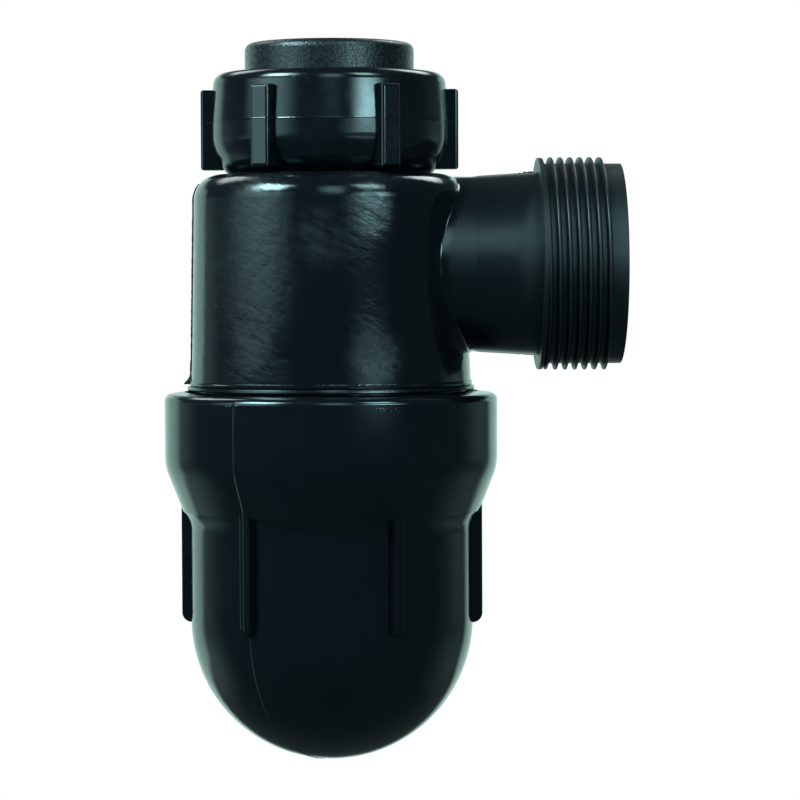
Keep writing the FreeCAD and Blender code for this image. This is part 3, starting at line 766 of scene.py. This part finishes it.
# %% Flash of the body
FLASH_TOP = 35.5 * MM
FLASH_FOOT = 87.0 * MM
FLASH_HALF = 0.3 * MM
FLASH_HEIGHTS_MM = (0.34, 0.44)
FLASH_STRIDE = 0.6 * MM
LUG_DEPTH = 86.4 * MM
LUG_HEIGHT = 1.1 * MM
LUG_REACH = 1.3 * MM
OUTLET_DEPTH = 56.15 * MM
BRANCH_START = 37.5 * MM
BACK_OF_THREAD = 52.2 * MM
BRANCH_FLASH_MM = 0.08
BRANCH_HALF = 0.22 * MM
BRANCH_STRIDE = 0.4 * MM
RAGGED_START = 46 * MM
RAGGED_RUN = 6 * MM


def outlet_axis(place):
    return Vector((place, 0, -OUTLET_DEPTH))


def flash_side():
    """Down the side of the barrel that faces away from the outlet, ending in a lug on the bead."""
    tree = surface("trap_body")
    out = radial(math.pi)
    across = UP.cross(out)
    rng = random.Random(4)
    stations = []
    for depth in places(FLASH_TOP, FLASH_FOOT, FLASH_STRIDE):
        lug = LUG_HEIGHT * math.exp(-(((depth - LUG_DEPTH) / LUG_REACH) ** 2))
        height = rng.uniform(*FLASH_HEIGHTS_MM) * MM + lug
        stations.append((touch(tree, -UP * depth, out), out, across, FLASH_HALF, height))
    make_ridge("body_flash_side", stations, "trap_body")


def flash_branch(name, out, seed, ragged):
    """Along the top or the foot of the outlet, ragged near its thread."""
    tree = surface("trap_body")
    across = Vector((0, 1, 0))
    rng = random.Random(seed)
    stations = []
    for place in places(BRANCH_START, BACK_OF_THREAD, BRANCH_STRIDE):
        near = max(0.0, (place - RAGGED_START) / RAGGED_RUN)
        height = (BRANCH_FLASH_MM + ragged * near * rng.random()) * MM
        stations.append((touch(tree, outlet_axis(place), out), out, across, BRANCH_HALF, height))
    make_ridge(name, stations, "trap_body")


flash_side()
flash_branch("outlet_flash_top", UP, seed=5, ragged=0.5)
flash_branch("outlet_flash_foot", -UP, seed=6, ragged=0.15)

# %% [markdown]
# ## The bead's edges
# Just above the bowl the body has a bead. Its edge is a little ragged, and a second, softer ring lies under it. The
# ring could be one more ridge found with rays, but it is round, so it is turned from a section. The ragged edge is a
# ridge with drawn heights.

# %% Edges of the bead
BURR_DEPTH = 85.9 * MM
BURR_HALF = 0.26 * MM
BURR_HEIGHTS_MM = (0.02, 0.07)
BURR_STEPS = 360
RING_STEPS = 180
# Radius and depth in millimetres.
LOWER_RING = ((35.6, 86.75), (36.45, 86.98), (36.55, 87.3), (36.62, 87.7), (36.4, 88.0), (35.6, 88.05))


def bead_burr():
    tree = surface("trap_body")
    rng = random.Random(11)
    stations = []
    for step in range(BURR_STEPS):
        out = radial(math.tau * step / BURR_STEPS)
        foot = touch(tree, -UP * BURR_DEPTH, out)
        stations.append((foot, out, UP, BURR_HALF, rng.uniform(*BURR_HEIGHTS_MM) * MM))
    make_ridge("bead_burr", stations, "trap_body", closed=True)


def bead_ring():
    sections = []
    for step in range(RING_STEPS):
        out = radial(math.tau * step / RING_STEPS)
        sections.append([(out * radius - UP * depth) * MM for radius, depth in LOWER_RING])
    join_sections("bead_lower_ring", sections, "trap_body", closed=True)


bead_burr()
bead_ring()

# %% [markdown]
# ## Rounded crests of the outlet's thread
# The solid's thread has flat crests with sharp corners. On the real outlet they look rounded, and each one
# catches the light as a fine line. Rounding the solid would change its mesh, so a thin rounded strip follows the
# crest over it. Rays along lines of the outlet find the crests, and stepping from line to line to the nearest one
# follows the helix from end to end.

# %% Rounded crests of the outlet's thread
CREST_ANGLES = 120
CREST_TOP_MM = 27.0
CREST_LEAST = 26.9 * MM
CREST_STRIDE = 0.05 * MM
CREST_STEP = 0.3 * MM
THREAD_START = 54.2 * MM
THREAD_END = 71.0 * MM
# Along the axis and over the crest, in millimetres.
CREST_SECTION = ((-0.34, -0.14), (-0.27, 0.05), (-0.1, 0.13), (0.1, 0.13), (0.27, 0.05), (0.34, -0.14))


def crests_at(tree, out):
    """The middles of the thread's crests along one line of the outlet."""
    middles, run = [], []
    for place in places(THREAD_START, THREAD_END, CREST_STRIDE):
        axis = outlet_axis(place)
        hit = touch(tree, axis, out)
        if hit is not None and (hit - axis).length > CREST_LEAST:
            run.append(place)
        elif run:
            middles.append((run[0] + run[-1]) / 2)
            run = []
    return middles


def follow_crest(rows):
    """The steps and places of the crest, from line to line."""
    path = [(0, rows[0][0])]
    while True:
        step, here = path[-1]
        near = [place for place in rows[(step + 1) % CREST_ANGLES] if abs(place - here) < CREST_STEP]
        if not near:
            return path
        path.append((step + 1, near[0]))


def thread_crests():
    tree = surface("trap_body")
    angles = [math.tau * step / CREST_ANGLES for step in range(CREST_ANGLES)]
    ways = [Vector((0, math.cos(angle), math.sin(angle))) for angle in angles]
    path = follow_crest([crests_at(tree, way) for way in ways])
    sections = []
    for step, place in path:
        way = ways[step % CREST_ANGLES]
        sections.append([
            outlet_axis(place) + Vector((along * MM, 0, 0)) + way * (CREST_TOP_MM + over) * MM
            for along, over in CREST_SECTION
        ])
    print("turns:", round(len(path) / CREST_ANGLES, 2))
    join_sections("outlet_thread_crest", sections, "trap_body")


thread_crests()

# %% [markdown]
# ## Gouges on the collar
# Something slipped on the bowl's collar, perhaps a wrench, and left short nicks with a raised edge. Cutting them
# would change the solid. The raised edges are what catches the light, so each nick is a short ridge that rises and
# falls along its length, with a drawn height and depth at each station.

# %% Gouges on the collar
# First and last angle in degrees, first and last depth in millimetres.
GOUGES = (
    (-76.0, -66.5, 91.3, 91.7),
    (-74.0, -69.0, 92.0, 91.5),
    (-70.5, -65.0, 92.2, 92.5),
    (-128.5, -122.5, 91.0, 90.6),
)
GOUGE_STEPS = 24
GOUGE_HALF = 0.16 * MM
GOUGE_HEIGHT = 0.14 * MM
GOUGE_SHARES = (0.4, 1.0)
GOUGE_WANDER_MM = 0.06


def gouges():
    tree = surface("bowl")
    rng = random.Random(8)
    for number, (start, stop, first, last) in enumerate(GOUGES):
        stations = []
        for step in range(GOUGE_STEPS + 1):
            part = step / GOUGE_STEPS
            out = radial(math.radians(start + (stop - start) * part))
            depth = (first + (last - first) * part + rng.uniform(-GOUGE_WANDER_MM, GOUGE_WANDER_MM)) * MM
            height = GOUGE_HEIGHT * math.sin(math.pi * part) * rng.uniform(*GOUGE_SHARES)
            stations.append((touch(tree, -UP * depth, out), out, UP, GOUGE_HALF, height))
        make_ridge(f"collar_gouge_{number + 1}", stations, "bowl")


gouges()
